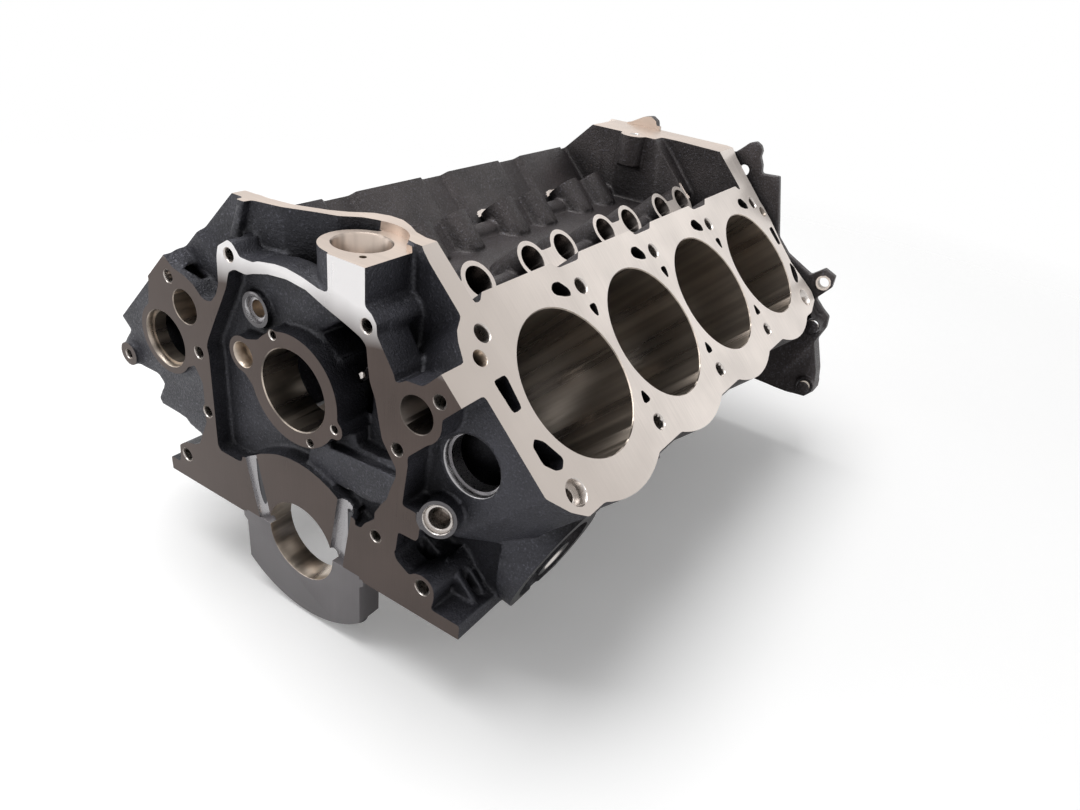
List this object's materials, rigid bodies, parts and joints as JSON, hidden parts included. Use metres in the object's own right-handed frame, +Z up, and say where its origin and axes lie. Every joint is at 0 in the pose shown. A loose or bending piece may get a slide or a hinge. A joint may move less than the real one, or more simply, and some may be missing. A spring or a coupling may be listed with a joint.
{
  "type": "engine block",
  "caption": "Bare V-type engine block in grey iron with bored cylinders, open valley, timing case, bearing caps and their bolts.",
  "frame": {"origin": "crankshaft axis at the machined front face", "axes": "+X to the right seen from the front, +Y along the crankshaft to the rear, +Z up"},
  "size_m": [0.438, 0.525, 0.3062],
  "materials": {
    "casting": "as cast with machined faces",
    "cap": "as cast with machined faces",
    "bolt": "dark oiled steel"
  },
  "bodies": {
    "root": {"block_casting": "casting", "main_cap_1": "cap", "main_cap_2": "cap", "main_cap_3": "cap", "main_cap_4": "cap", "main_cap_5": "cap", "main_cap_bolts": "bolt"}
  },
  "joints": []
}
